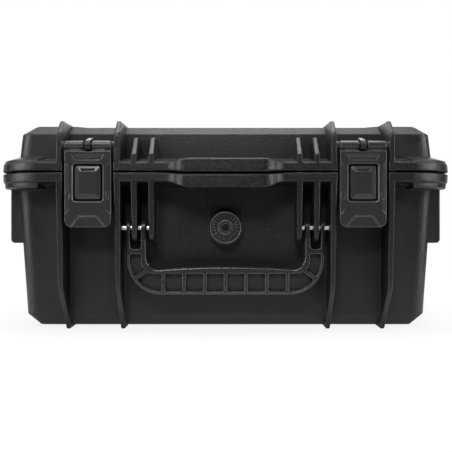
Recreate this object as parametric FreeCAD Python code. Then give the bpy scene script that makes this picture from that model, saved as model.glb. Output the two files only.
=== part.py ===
import FreeCAD, Part
import math
import os

from FreeCAD import Vector

# Moulded equipment case with a hinged lid, two snap latches, a fold-down carry handle and a pressure
# valve. Millimetres. +X is to the right, +Y to the back and +Z up. The origin is on the surface that
# the case stands on, under the middle of its box.

# Envelope
case_width = 339.0          # flange edge to flange edge
case_depth = 295.0          # front of the lip to the back of the hinge
parting_height = 117.0      # feet to the middle of the gap between base and lid
parting_gap = 1.4           # open line between the two flanges
base_bottom = 1.9           # underside of the base above the feet
lid_rise = 35.8             # top panel of the lid above the parting line
rib_stand = 1.7             # guard ribs above the top panel

# Walls of both shells
wall = 3.2
base_side_draft = 3.4       # degrees, left and right walls of the base
lid_side_draft = 6.0        # degrees, left and right walls of the lid
end_draft = 2.0             # degrees, front and rear walls
wall_corner_radius = 11.0
side_overhang = 11.5        # flange beyond the side wall
front_overhang = 25.0       # flange beyond the front wall
rear_overhang = 16.0        # flange beyond the rear wall
base_chamfer_run = 9.5
base_chamfer_rise = 9.0
lid_chamfer_run = 10.0      # front and rear
lid_chamfer_side_run = 8.6
lid_chamfer_rise = 6.0
panel_corner_radius = 3.0   # top and bottom panels, inside their chamfers
edge_round = 1.0            # rounding of the flange edges
rib_round = 1.0             # rounding of the rib edges
pad_rise = 1.0              # corner pads above the top panel
pad_start = 8.0             # a pad's ramp starts this far outside the middle of a bay
pad_ramp = 9.0
pad_half_gap = 52.0         # pads stay this far from the middle of the case

# Flanges round the opening
flange_corner_radius = 40.0
lid_flange_edge = 6.0       # height of the lid flange at its edge
base_flange_edge = 6.4
lid_flange_slope = 4.5      # rise of the flange from its edge to the wall
base_flange_slope = 4.1
flange_lean = 0.8           # draft of the flange edge at the sides, over its height
band_padlock_gap = 3.6      # corner bands start this far outside the padlock hole
band_side_inset = 0.1       # step at the foot of a corner band, on the sides
band_end_inset = 2.0        # the same step at the front and rear
band_lean = 0.6             # draft of a band at the sides
band_end_slant = 1.5
lid_band_edge = 8.2         # height of the lid's bands at their edge
lid_band_slope = 3.6
base_band_edge = 10.9
base_band_slope = 0.5

# Lip in the middle of the front
lip_projection = 10.0
lip_flat_half = 25.0
lip_foot_half = 45.5
lip_drop = 1.5              # the parting line runs lower along the lip
lip_lid_height = 9.7
lip_base_height = 9.6
lip_drop_depth = 21.0       # how far back the lower parting line reaches
lip_round = 1.2

# Seal between the shells
tongue_width = 3.0
tongue_height = 2.0
groove_clearance = 0.8
groove_depth = 4.2
gasket_thickness = 3.3
gasket_side_clearance = 0.2

# Guard ribs beside the latches and hinges
bay_inset = 71.5            # middle of a latch or hinge, inside the flange's side edge
bay_width = 36.8            # between the two guard ribs
rib_thickness = 4.5
rib_tip_thickness = 3.3
rib_front_recess = 5.0      # how far the rib has drawn back where its foot slope starts
rib_knee_height = 33.0
rib_knee_radius = 14.0
rib_foot_recess = 30.0
rib_foot_length = 26.0
rib_foot_ramp = 8.0
rib_foot_radius = 1.5
lid_rib_knee_rise = 27.0
lid_rib_knee_radius = 6.0
lid_rib_top_radius = 3.0
lid_rib_top_recess = 11.0
lid_rib_run = 52.0
lid_rib_ramp = 9.0
bay_recess = 11.5           # flange set back behind the latch

# Ribs that carry the handle, and the short ribs above them on the lid
handle_guard_gap = 3.8      # guard rib to the handle
inner_rib_gap = 1.95        # inner rib to the handle
handle_rib_thickness = 4.6
handle_rib_tip = 3.4
handle_rib_drop = 50.3      # lower end below the parting line
handle_rib_recess = 3.0
handle_rib_radius = 7.0
lid_gusset_knee_rise = 12.5
lid_gusset_rise = 25.3
lid_gusset_recess = 12.0
lid_gusset_radius = 1.5

# Ribs on the side walls
side_rib_inset = 17.3       # behind the front wall, and before the rear one
side_rib_thickness = 4.6
side_rib_reach = 7.7        # from the side wall at the parting line
side_rib_drop = 52.6
side_rib_round = 3.0

# Holes for padlocks
padlock_rib_gap = 9.1       # hole centre outside the guard rib
padlock_radius = 3.3
padlock_edge = 8.5          # hole centre behind the flange edge

# Hinge
knuckle_radius = 5.5
hinge_pin_radius = 2.0
hinge_gap = 7.0             # hinge axis behind the rear flange
knuckle_middle_width = 18.0
knuckle_side_clearance = 0.4
knuckle_rib_clearance = 0.5

# Fits
running_clearance = 0.05    # radial, pin in a turning piece
seat_clearance = 0.02       # radial, pin in its seat
slide_clearance = 0.35      # flat faces that pass each other
overshoot = 1.0             # how far a cut runs past the face it opens
bury = 0.5                  # how far a fused detail sinks into its carrier
touch = 0.01                # two points nearer than this are at the same place

# Latch
latch_side_gap = 1.9        # latch to guard rib
latch_drop = 39.8           # lower edge below the parting line
latch_axis_rise = 19.0
latch_proud = 0.6           # latch face in front of the flange
latch_plate = 3.4
latch_depth = 9.6           # side walls of the latch, front to back
latch_side_wall = 2.2
latch_barrel_radius = 3.0
latch_pin_radius = 1.5
latch_pin_bite = 1.6        # how far a pin reaches into each rib
latch_notch_width = 6.7
latch_notch_height = 8.0
latch_lug_width = 3.2
latch_lug_radius = 3.7
latch_lug_crest = 9.0       # behind the pivot, where the lug is highest
latch_lug_crest_rise = 6.0
latch_boss_radius = 2.6     # bosses on the guard ribs, round the ends of the pin
latch_barrel_chamfer = 0.5
latch_neck_low = 15.0       # groove under the barrel, above the parting line
latch_neck_depth = 2.0
latch_neck_shoulder = 0.7
latch_pad_offset = 9.0      # raised pads in the groove, from the middle
latch_pad_half = 3.9
latch_pad_inset = 0.9
latch_pad_height = 1.1
latch_pad_depth = 0.9       # pad face behind the latch face
latch_corner_radius = 5.0
latch_round = 0.8
latch_side_radius = 2.0
latch_facet_width = 3.4
latch_facet_depth = 1.0
latch_facet_drop = 30.6
latch_facet_rise = 6.6
latch_facet_slant = 3.2     # ends of a facet
latch_brow_low = 8.2
latch_brow_high = 12.4
latch_brow_half = 12.0
latch_brow_inset = 3.0
latch_brow_depth = 1.4
latch_thumb_drop = 31.5
latch_thumb_half = 6.5
latch_thumb_foot_half = 13.8
latch_thumb_groove = 0.6
latch_thumb_depth = 0.6
latch_web_height = 4.0
latch_window_bevel = 0.8
latch_dimple_drop = 17.1
latch_dimple_offset = 14.2
latch_dimple_radius = 0.9
latch_dimple_length = 3.2
latch_dimple_depth = 1.3

# Button in the latch
button_drop = 19.6
button_rise = 3.8
button_width = 18.1
button_gap = 1.4            # open line round the button
button_corner_radius = 1.6
button_thickness = 2.8
button_proud = 0.2          # button panel in front of the latch face
button_bevel_side = 3.1
button_bevel_end = 3.9
button_bevel_depth = 1.0
button_brow_half = 5.7      # sloped recess in the upper bevel
button_brow_inset = 1.3
button_brow_drop = 0.9
button_brow_height = 2.6
button_brow_depth = 1.5
button_axis_drop = 8.0
button_axis_depth = 5.6     # behind the latch face
button_pin_radius = 1.0
button_lug_width = 2.6
button_lug_radius = 2.4
button_lug_gap = 9.0        # between the two lugs
catch_height = 4.0
catch_drop = 11.0
catch_width = 12.0
strike_height = 6.0
strike_depth = 4.0
spring_thickness = 0.4
spring_width = 5.0
spring_bend_gap = 2.0       # lowest point of the spring above the button's ears
spring_tip_rise = 4.0

# Carry handle
handle_axis_drop = 40.3
handle_axis_depth = 10.5    # behind the flange edge
handle_pin_radius = 2.0
handle_pin_bite = 2.2
handle_thickness = 11.0
handle_outer_arm = 2.5
handle_inner_arm = 3.4
fork_outer_gap = 1.2        # handle rib to the outer arm
fork_inner_gap = 2.4        # handle rib to the inner arm
fork_depth = 15.4           # from the pivot to the bottom of the fork
fork_radius = 3.0
fork_web = 3.2              # between the fork and the first cell
grip_reach = 48.0           # pivot to the outer edge of the grip
grip_clear_ends = 30.5      # pivot to the inner edge, at its ends
grip_clear_middle = 26.4    # where the two slopes of the inner edge would meet
grip_arch_start = 19.2      # inner arm to the start of the arch
handle_outer_radius = 25.0
handle_inner_radius = 9.0
handle_round = 1.6
cell_depth = 4.8
cell_corner_gap = 1.65      # last rib of the row to the start of the corner
cell_rib = 2.3
cell_count = 6
cell_floor = 1.9            # edge of the grip under the cells
cell_height = 13.4
cell_corner_radius = 1.3
cell_spoke_angle = 36.0     # degrees below level, rib across each corner

# Pressure valve
valve_drop = 40.3
valve_pad_width = 26.0
valve_pad_proud = 0.6
valve_knob_radius = 12.4
valve_knob_thickness = 2.9
valve_skirt = 1.1
valve_rim_width = 1.3
valve_rim_height = 1.2
valve_rim_round = 0.5
valve_ring_radius = 5.6
valve_ring_width = 1.3
valve_ring_height = 1.9
valve_hub_across = 6.4
valve_hub_height = 0.8
valve_flange_radius = 10.6
valve_flange_thickness = 2.0
valve_thread_radius = 6.0
valve_thread_length = 12.0
valve_stem_radius = 2.5
valve_nut_across = 18.0
valve_nut_thickness = 4.0
valve_land_margin = 1.0     # flat land inside the wall, round the nut
valve_land_proud = 0.4      # the land stands clear of the sloped wall
oring_radius = 8.6
oring_section = 0.9

# Foam inside
foam_clearance = 0.3
foam_pad_thickness = 10.0
foam_block_top_gap = 2.0    # foam ends below the rim
foam_lid_thickness = 28.0
foam_side_border = 55.0     # foam left beside the well
foam_end_border = 50.0      # foam left before and behind the well
foam_well_radius = 8.0
foam_well_floor = 40.0      # foam left under the well, above the pad
foam_valve_room = 3.0

# Places that follow from the sizes above
flange_x = case_width / 2
lip_front = -case_depth / 2
flange_front = lip_front + lip_projection
hinge_y = case_depth / 2 - knuckle_radius
flange_rear = hinge_y - hinge_gap
wall_x = flange_x - side_overhang
wall_front = flange_front + front_overhang
wall_rear = flange_rear - rear_overhang
base_rim = parting_height - parting_gap / 2
lid_rim = parting_height + parting_gap / 2
base_edge_low = base_rim - base_flange_edge
base_root_low = base_edge_low - base_flange_slope
lid_edge_high = lid_rim + lid_flange_edge
lid_root_high = lid_edge_high + lid_flange_slope
base_chamfer = (base_chamfer_run, base_chamfer_run)
lid_chamfer = (lid_chamfer_side_run, lid_chamfer_run)
bay_middle = flange_x - bay_inset
bay_inner = bay_middle - bay_width / 2
bay_outer = bay_middle + bay_width / 2
guard_rib_x = (bay_inner - rib_thickness / 2, bay_outer + rib_thickness / 2)
latch_width = bay_width - 2 * latch_side_gap
padlock_x = bay_outer + rib_thickness + padlock_rib_gap
band_half_gap = padlock_x + band_padlock_gap
pad_inner_x = bay_middle + pad_start
handle_half_width = bay_inner - rib_thickness - handle_guard_gap
fork_outer_x = handle_half_width - handle_outer_arm
handle_rib_x = fork_outer_x - fork_outer_gap - handle_rib_thickness / 2
fork_inner_x = handle_rib_x - handle_rib_thickness / 2 - fork_inner_gap
handle_inner_arm_x = fork_inner_x - handle_inner_arm
inner_rib_x = handle_inner_arm_x - inner_rib_gap - handle_rib_thickness / 2
grip_slope = math.atan2(grip_clear_ends - grip_clear_middle, handle_inner_arm_x)
grip_arch_reach = (handle_inner_arm_x - grip_arch_start) / math.cos(grip_slope)
grip_arch_radius = grip_arch_reach / math.tan(grip_slope)
cell_pitch = 2 * (handle_half_width - handle_outer_radius - cell_corner_gap) / cell_count
bay_face = flange_front + bay_recess
latch_face = flange_front - latch_proud
latch_axis_y = latch_face + latch_barrel_radius
button_axis_y = latch_face + button_axis_depth
handle_y = flange_front + handle_axis_depth
lid_top = parting_height + lid_rise
rib_top = lid_top + rib_stand
lid_rib_knee_height = parting_height + lid_rib_knee_rise
lid_gusset_knee = parting_height + lid_gusset_knee_rise
lid_gusset_top = parting_height + lid_gusset_rise
handle_rib_bottom = parting_height - handle_rib_drop
side_rib_bottom = parting_height - side_rib_drop
latch_bottom = parting_height - latch_drop
latch_axis_height = parting_height + latch_axis_rise
latch_facet_bottom = parting_height - latch_facet_drop
latch_facet_top = parting_height + latch_facet_rise
latch_brow_bottom = parting_height + latch_brow_low
latch_brow_top = parting_height + latch_brow_high
latch_thumb_top = parting_height - latch_thumb_drop
latch_dimple_height = parting_height - latch_dimple_drop
button_bottom = parting_height - button_drop
button_top = parting_height + button_rise
button_axis_height = parting_height - button_axis_drop
catch_top = parting_height - catch_drop
handle_axis_height = parting_height - handle_axis_drop
grip_bottom = handle_axis_height - grip_reach
grip_top_ends = handle_axis_height - grip_clear_ends
grip_top_middle = handle_axis_height - grip_clear_middle
cell_bottom = grip_bottom + cell_floor
cell_top = cell_bottom + cell_height
valve_height = parting_height - valve_drop
far = case_width            # longer than any cut needs


def profile_edges(corners, place):
    """Edges of a closed outline; a corner is (u, v) or (u, v, radius)."""
    count = len(corners)
    starts = []
    ends = []
    arcs = []
    for index, corner in enumerate(corners):
        here = Vector(corner[0], corner[1], 0)
        radius = corner[2] if len(corner) > 2 else 0.0
        before = corners[index - 1]
        after = corners[(index + 1) % count]
        to_before = (Vector(before[0], before[1], 0) - here).normalize()
        to_after = (Vector(after[0], after[1], 0) - here).normalize()
        if radius == 0.0:
            starts.append(here)
            ends.append(here)
            arcs.append(None)
            continue
        half = to_before.getAngle(to_after) / 2
        reach = radius / math.tan(half)
        middle = (to_before + to_after).normalize() * (radius / math.sin(half) - radius)
        starts.append(here + to_before * reach)
        ends.append(here + to_after * reach)
        arcs.append(here + middle)
    edges = []
    for index in range(count):
        if arcs[index] is not None:
            arc = Part.Arc(place(starts[index]), place(arcs[index]), place(ends[index]))
            edges.append(arc.toShape())
        run_start = ends[index]
        run_end = starts[(index + 1) % count]
        if run_start.distanceToPoint(run_end) > 1e-6:
            edges.append(Part.LineSegment(place(run_start), place(run_end)).toShape())
    return edges


def prism_x(corners, x_low, x_high):
    """Solid whose (y, z) outline runs from x_low to x_high."""
    edges = profile_edges(corners, lambda p: Vector(x_low, p.x, p.y))
    return Part.Face(Part.Wire(edges)).extrude(Vector(x_high - x_low, 0, 0))


def prism_y(corners, y_low, y_high):
    """Solid whose (x, z) outline runs from y_low to y_high."""
    edges = profile_edges(corners, lambda p: Vector(p.x, y_low, p.y))
    return Part.Face(Part.Wire(edges)).extrude(Vector(0, y_high - y_low, 0))


def prism_z(corners, z_low, z_high):
    """Solid whose (x, y) outline runs from z_low to z_high."""
    edges = profile_edges(corners, lambda p: Vector(p.x, p.y, z_low))
    return Part.Face(Part.Wire(edges)).extrude(Vector(0, 0, z_high - z_low))


def block(x_low, x_high, y_low, y_high, z_low, z_high):
    size = (x_high - x_low, y_high - y_low, z_high - z_low)
    return Part.makeBox(*size, Vector(x_low, y_low, z_low))


def rod_x(x_low, x_high, y, z, radius):
    return Part.makeCylinder(radius, x_high - x_low, Vector(x_low, y, z), Vector(1, 0, 0))


def rod_y(y_low, y_high, x, z, radius):
    return Part.makeCylinder(radius, y_high - y_low, Vector(x, y_low, z), Vector(0, 1, 0))


def rod_z(z_low, z_high, x, y, radius):
    return Part.makeCylinder(radius, z_high - z_low, Vector(x, y, z_low), Vector(0, 0, 1))


def rectangle(half_x, y_front, y_rear, radius):
    return [
        (-half_x, y_front, radius),
        (half_x, y_front, radius),
        (half_x, y_rear, radius),
        (-half_x, y_rear, radius),
    ]


def ring_wire(corners, z):
    return Part.Wire(profile_edges(corners, lambda p: Vector(p.x, p.y, z)))


def drafted(sections):
    """Solid through (corners, z) sections, with flat faces between them."""
    wires = [ring_wire(corners, z) for corners, z in sections]
    return Part.makeLoft(wires, True, True)


def both_sides(shapes):
    return shapes + [shape.mirror(Vector(0, 0, 0), Vector(1, 0, 0)) for shape in shapes]


def on_the_left(shape):
    return shape.mirror(Vector(0, 0, 0), Vector(1, 0, 0))


def joined(body, pieces):
    """The body with each piece fused on in turn."""
    for piece in pieces:
        body = body.fuse(piece)
    return body


def rounded(solid, radius, wanted):
    """Fillet the edges whose middle point passes the wanted test."""
    edges = []
    for edge in solid.Edges:
        middle = edge.valueAt((edge.FirstParameter + edge.LastParameter) / 2)
        if wanted(middle):
            edges.append(edge)
    return solid.makeFillet(radius, edges)


def s_blend(u_from, v_from, u_to, v_to, place):
    """Two tangent arcs that leave and arrive parallel to u."""
    run = u_to - u_from
    rise = v_to - v_from
    radius = (run * run + rise * rise) / (4 * abs(rise))
    half_angle = math.asin(abs(run) / 2 / radius)
    side_u = math.copysign(radius * math.sin(half_angle / 2), run)
    side_v = math.copysign(radius * (1 - math.cos(half_angle / 2)), rise)
    middle = Vector((u_from + u_to) / 2, (v_from + v_to) / 2, 0)
    first = Vector(u_from + side_u, v_from + side_v, 0)
    second = Vector(u_to - side_u, v_to - side_v, 0)
    start = Vector(u_from, v_from, 0)
    end = Vector(u_to, v_to, 0)
    return [
        Part.Arc(place(start), place(first), place(middle)).toShape(),
        Part.Arc(place(middle), place(second), place(end)).toShape(),
    ]


def side_draft(z):
    return lid_side_draft if z > parting_height else base_side_draft


def outline_from_parting(distance, side_angle, grow):
    """Outside of the shell walls at a distance from the parting line, grown or shrunk."""
    side = distance * math.tan(math.radians(side_angle)) - grow
    end = distance * math.tan(math.radians(end_draft)) - grow
    return rectangle(wall_x - side, wall_front + end, wall_rear - end, wall_corner_radius + grow)


def wall_outline(z, grow=0.0):
    return outline_from_parting(abs(z - parting_height), side_draft(z), grow)


def front_wall_y(z):
    return wall_front + abs(z - parting_height) * math.tan(math.radians(end_draft))


def chamfered(corners, runs, further=0.0):
    """A wall outline drawn in by a chamfer, whose runs are at the sides and at the ends."""
    (half_x, y_rear, _) = corners[2]
    y_front = corners[0][1]
    side = runs[0] + further
    end = runs[1] + further
    return rectangle(half_x - side, y_front + end, y_rear - end, panel_corner_radius)


def shell_body(rim, shoulder, panel, runs):
    """Solid inside the outside of one shell's wall, from its rim to its panel."""
    return drafted([
        (wall_outline(rim), rim),
        (wall_outline(shoulder), shoulder),
        (chamfered(wall_outline(shoulder), runs), panel),
    ])


def hollow_shape(rim, shoulder, panel, runs, outward):
    """The room inside a shell, open through its rim."""
    inset = wall * math.tan(math.pi / 8)
    inner_panel = panel - outward * wall
    at_panel = chamfered(wall_outline(shoulder, -wall), runs, inset - wall)
    inner_shoulder = shoulder - outward * inset
    return drafted([
        (outline_from_parting(parting_gap / 2 - wall, side_draft(rim), -wall), rim - outward * wall),
        (wall_outline(inner_shoulder, -wall), inner_shoulder),
        (at_panel, inner_panel),
    ])


def flange_outline(side, end):
    """Plan of the flange, drawn in at the sides and at the ends."""
    return rectangle(
        flange_x - side, flange_front + end, flange_rear - end, flange_corner_radius - side)


def at_outer_edge(point):
    beside = abs(point.x) > wall_x + side_overhang / 2
    before = point.y < wall_front - front_overhang / 2
    behind = point.y > wall_rear + rear_overhang / 2
    return beside or before or behind


def flange(rim, edge, root):
    """Flange that thins from the wall to its edge."""
    low, high = sorted(((rim, 0.0), (edge, flange_lean)))
    plate = drafted([(flange_outline(lean, 0.0), z) for z, lean in (low, high)])
    slope = drafted([(wall_outline(root), root), (flange_outline(flange_lean, 0.0), edge)])
    body = plate.fuse(slope).removeSplitter()

    def at_edge(point):
        on_edge = abs(point.z - rim) < touch or abs(point.z - edge) < touch
        return on_edge and at_outer_edge(point)

    return rounded(body, edge_round, at_edge)


def corner_bands(rim, edge, height, slope):
    """Thicker stretch of the flange round the sides and corners."""
    upward = math.copysign(1, edge - rim)
    crest = rim + upward * height
    root = crest + upward * slope
    foot_side = flange_lean + band_side_inset
    top = flange_outline(foot_side + band_lean, band_end_inset)
    ring = drafted([(flange_outline(foot_side, band_end_inset), edge - upward * edge_round), (top, crest)])
    ring = ring.fuse(drafted([(top, crest), (wall_outline(root), root)]))
    at_root = band_half_gap + band_end_slant
    middle = prism_y(
        [
            (-at_root, root + upward * overshoot),
            (at_root, root + upward * overshoot),
            (at_root, root),
            (band_half_gap, edge),
            (band_half_gap, rim),
            (-band_half_gap, rim),
            (-band_half_gap, edge),
            (-at_root, root),
        ],
        -far,
        far,
    )
    band = ring.cut(middle)

    def at_crest(point):
        return abs(point.z - crest) < touch and at_outer_edge(point)

    return rounded(band, 1.5 * edge_round, at_crest)


def lip_plan():
    """Plan outline of the lip, reaching back into the flange."""
    def place(p):
        return Vector(p.x, p.y, 0)

    back = flange_front + front_overhang / 2
    edges = s_blend(lip_foot_half, flange_front, lip_flat_half, lip_front, place)
    edges.append(Part.LineSegment(
        Vector(lip_flat_half, lip_front, 0), Vector(-lip_flat_half, lip_front, 0)).toShape())
    edges += s_blend(-lip_flat_half, lip_front, -lip_foot_half, flange_front, place)
    corners = [
        Vector(-lip_foot_half, flange_front, 0),
        Vector(-lip_foot_half, back, 0),
        Vector(lip_foot_half, back, 0),
        Vector(lip_foot_half, flange_front, 0),
    ]
    for start, end in zip(corners, corners[1:]):
        edges.append(Part.LineSegment(start, end).toShape())
    return Part.Face(Part.Wire(edges))


def lip_front_view(flat_low, foot_low, flat_high, foot_high, y_low, y_high):
    """Band across the lip whose lower and upper lines bend at its feet."""
    def place(p):
        return Vector(p.x, y_low, p.y)

    edges = s_blend(-lip_foot_half, foot_low, -lip_flat_half, flat_low, place)
    edges.append(Part.LineSegment(
        place(Vector(-lip_flat_half, flat_low, 0)), place(Vector(lip_flat_half, flat_low, 0))).toShape())
    edges += s_blend(lip_flat_half, flat_low, lip_foot_half, foot_low, place)
    edges.append(Part.LineSegment(
        place(Vector(lip_foot_half, foot_low, 0)), place(Vector(lip_foot_half, foot_high, 0))).toShape())
    edges += s_blend(lip_foot_half, foot_high, lip_flat_half, flat_high, place)
    edges.append(Part.LineSegment(
        place(Vector(lip_flat_half, flat_high, 0)), place(Vector(-lip_flat_half, flat_high, 0))).toShape())
    edges += s_blend(-lip_flat_half, flat_high, -lip_foot_half, foot_high, place)
    edges.append(Part.LineSegment(
        place(Vector(-lip_foot_half, foot_high, 0)), place(Vector(-lip_foot_half, foot_low, 0))).toShape())
    return Part.Face(Part.Wire(edges)).extrude(Vector(0, y_high - y_low, 0))


def lip(flat_low, foot_low, flat_high, foot_high):
    tall = lip_plan().extrude(Vector(0, 0, far))
    view = lip_front_view(flat_low, foot_low, flat_high, foot_high, lip_front - overshoot, wall_front)
    body = tall.common(view)

    def front_edge(point):
        return point.y < flange_front - bury and abs(point.x) < lip_foot_half - overshoot

    return rounded(body, lip_round, front_edge)


def tapered_rib(x_middle, outline, thick, thin, z_thick, z_thin, exposed):
    """Upright rib from a (y, z) outline, thinning from one height to another."""
    slab = prism_x(outline, x_middle - thick, x_middle + thick)
    over = math.copysign(wall, z_thick - z_thin)
    limits = [
        (x_middle - thick / 2, z_thick + over),
        (x_middle + thick / 2, z_thick + over),
        (x_middle + thin / 2, z_thin - over),
        (x_middle - thin / 2, z_thin - over),
    ]
    body = slab.common(prism_y(limits, -far, far))

    def on_side(point):
        return exposed(point) and abs(point.x - x_middle) > thin / 2 - bury

    return rounded(body, rib_round, on_side)


def base_guard_rib(x_middle, edge_y, toward):
    """Guard rib on the base; toward is +1 where the wall lies at larger y."""
    inside = edge_y + toward * (front_overhang + 2 * wall)
    foot = edge_y + toward * rib_foot_recess
    outline = [
        (edge_y, base_rim),
        (edge_y, base_edge_low),
        (edge_y + toward * rib_front_recess, rib_knee_height, rib_knee_radius),
        (foot, 0.0, rib_foot_radius),
        (foot + toward * rib_foot_length, 0.0),
        (foot + toward * (rib_foot_length + rib_foot_ramp), base_bottom + wall / 2),
        (inside, base_bottom + wall / 2),
        (inside, base_rim),
    ]

    def exposed(point):
        outside = (point.y - edge_y) * toward < rib_foot_recess + overshoot
        beyond_rim = point.z < base_edge_low + overshoot
        near_wall = (point.y - inside) * toward > -2 * wall and point.z > base_bottom
        return (outside or point.z < base_bottom / 2) and beyond_rim and not near_wall

    return tapered_rib(
        x_middle, outline, rib_thickness, rib_tip_thickness, base_rim, 0.0, exposed)


def lid_guard_rib(x_middle, edge_y, toward, overhang):
    """Guard rib on the lid."""
    inside = edge_y + toward * (overhang + lid_chamfer_run + 2 * wall)
    end = edge_y + toward * (lid_rib_top_recess + lid_rib_run)
    outline = [
        (edge_y, lid_rim),
        (edge_y, lid_rib_knee_height, lid_rib_knee_radius),
        (edge_y + toward * lid_rib_top_recess, rib_top, lid_rib_top_radius),
        (end, rib_top),
        (end + toward * lid_rib_ramp, lid_top - wall / 2),
        (inside, lid_top - wall / 2),
        (inside, lid_rim + wall),
        (edge_y + toward * overhang, lid_rim),
    ]

    def exposed(point):
        front = (point.y - edge_y) * toward < overhang - 2 * bury and point.z > lid_edge_high - bury
        return front or point.z > lid_top + bury

    return tapered_rib(
        x_middle, outline, rib_thickness, rib_tip_thickness, lid_rim, rib_top, exposed)


def base_handle_rib(x_middle):
    """Rib beside the handle, with a rounded lower end."""
    front_low = flange_front + handle_rib_recess
    outline = [
        (flange_front, base_rim),
        (flange_front, base_edge_low),
        (front_low, handle_rib_bottom, handle_rib_radius),
        (wall_front + 2 * wall, handle_rib_bottom),
        (wall_front + 2 * wall, base_rim),
    ]

    def exposed(point):
        return point.y < wall_front - bury and point.z < base_edge_low + overshoot

    return tapered_rib(
        x_middle, outline, handle_rib_thickness, handle_rib_tip, base_rim, handle_rib_bottom, exposed)


def lid_gusset(x_middle):
    """Short slanted rib above the lid flange."""
    outline = [
        (flange_front, lid_rim),
        (flange_front, lid_gusset_knee),
        (flange_front + lid_gusset_recess, lid_gusset_top, lid_gusset_radius),
        (wall_front + 2 * wall, lid_gusset_top),
        (wall_front + 2 * wall, lid_rim + wall),
        (wall_front, lid_rim),
    ]

    def exposed(point):
        return point.y < wall_front - overshoot and point.z > lid_edge_high - overshoot

    return tapered_rib(
        x_middle, outline, handle_rib_thickness, handle_rib_tip, lid_rim, lid_gusset_top, exposed)


def side_rib(y_middle):
    reach = wall_x + side_rib_reach
    outline = [
        (wall_x - 2 * wall, base_root_low + bury),
        (wall_x - 2 * wall, side_rib_bottom),
        (reach, side_rib_bottom, side_rib_round),
        (reach, base_root_low + bury),
    ]
    half = side_rib_thickness / 2
    body = prism_y(outline, y_middle - half, y_middle + half)

    def exposed(point):
        near_end = abs(abs(point.y - y_middle) - half) < touch
        return near_end and point.x > wall_x - overshoot and point.z < base_root_low

    return rounded(body, rib_round, exposed)


def seal_ring(z_low, z_high, inner, outer):
    """Closed ring that follows the rim, between two distances outside the wall."""
    outside = prism_z(wall_outline(parting_height, outer), z_low, z_high)
    inside = prism_z(wall_outline(parting_height, inner), z_low - overshoot, z_high + overshoot)
    return outside.cut(inside)


def knuckle(x_low, x_high, z_low, z_high):
    barrel = rod_x(x_low, x_high, hinge_y, parting_height, knuckle_radius)
    web = block(x_low, x_high, flange_rear - rear_overhang / 2, hinge_y, z_low, z_high)
    return barrel.fuse(web)


def bay_cutter(z_low, z_high):
    return block(bay_inner, bay_outer, lip_front, bay_face, z_low, z_high)


def padlock_hole():
    return rod_z(0, far, padlock_x, flange_front + padlock_edge, padlock_radius)


def valve_pad():
    """Flat land for the valve, from the flange down round the valve."""
    half = valve_pad_width / 2
    face = wall_front - valve_pad_proud
    outline = [
        (-half, base_root_low + bury),
        (half, base_root_low + bury),
        (half, valve_height - half, half - touch),
        (-half, valve_height - half, half - touch),
    ]
    return prism_y(outline, face, front_wall_y(valve_height - half) + wall / 2)


def valve_land_y():
    """Face of the flat land inside the wall that the valve's nut bears on."""
    return front_wall_y(valve_height - valve_land_radius()) + wall + valve_land_proud


def valve_land_radius():
    return valve_nut_across / 2 / math.cos(math.pi / 6) + valve_land_margin


def valve_land():
    middle = front_wall_y(valve_height) + wall / 2
    return rod_y(middle, valve_land_y(), 0, valve_height, valve_land_radius())


def base_shell():
    shoulder = base_bottom + base_chamfer_rise
    body = shell_body(base_rim, shoulder, base_bottom, base_chamfer)
    body = rounded(body, 2 * edge_round, lambda p: p.z < shoulder + bury)
    additions = [
        flange(base_rim, base_edge_low, base_root_low),
        corner_bands(base_rim, base_edge_low, base_band_edge, base_band_slope),
        lip(base_rim - lip_drop - lip_base_height, base_edge_low, base_rim - lip_drop, base_rim),
        seal_ring(base_rim - wall, base_rim + tongue_height, 0.0, tongue_width),
        valve_pad(),
    ]
    ribs = [base_handle_rib(handle_rib_x), base_handle_rib(inner_rib_x)]
    for x_middle in guard_rib_x:
        ribs.append(base_guard_rib(x_middle, flange_front, 1))
        ribs.append(base_guard_rib(x_middle, flange_rear, -1))
    ribs.append(side_rib(wall_front + side_rib_inset))
    ribs.append(side_rib(wall_rear - side_rib_inset))
    strike_top = base_root_low + wall
    ribs.append(block(
        bay_inner - bury, bay_outer + bury, bay_face, bay_face + strike_depth,
        catch_top - strike_height, strike_top))
    body = joined(body, additions + both_sides(ribs))
    body = body.cut(hollow_shape(base_rim, shoulder, base_bottom, base_chamfer, -1))
    knuckle_low = parting_height - knuckle_radius
    first = bay_inner + knuckle_rib_clearance
    last = bay_outer - knuckle_rib_clearance
    inner_end = bay_middle - knuckle_middle_width / 2 - knuckle_side_clearance
    outer_start = bay_middle + knuckle_middle_width / 2 + knuckle_side_clearance
    knuckles = [
        knuckle(first, inner_end, knuckle_low, base_rim),
        knuckle(outer_start, last, knuckle_low, base_rim),
    ]
    body = body.multiFuse(both_sides(knuckles) + [valve_land()])
    seat = handle_pin_radius + seat_clearance
    cuts = [
        bay_cutter(catch_top - strike_height - overshoot, parting_height),
        padlock_hole(),
        rod_x(bay_inner, bay_outer, hinge_y, parting_height, hinge_pin_radius + seat_clearance),
        rod_x(handle_pin_start(), handle_pin_end(), handle_y, handle_axis_height, seat),
    ]
    dip = lip_front_view(
        base_rim - lip_drop, base_rim, base_rim + wall, base_rim + 2 * wall,
        lip_front - overshoot, flange_front + lip_drop_depth)
    hole = rod_y(lip_front, 0, 0, valve_height, valve_thread_radius + slide_clearance)
    return body.cut(both_sides(cuts) + [dip, hole]).removeSplitter()


def handle_pin_start():
    return inner_rib_x + handle_rib_thickness / 2 - handle_pin_bite


def handle_pin_end():
    return bay_inner - rib_thickness + handle_pin_bite


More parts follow.
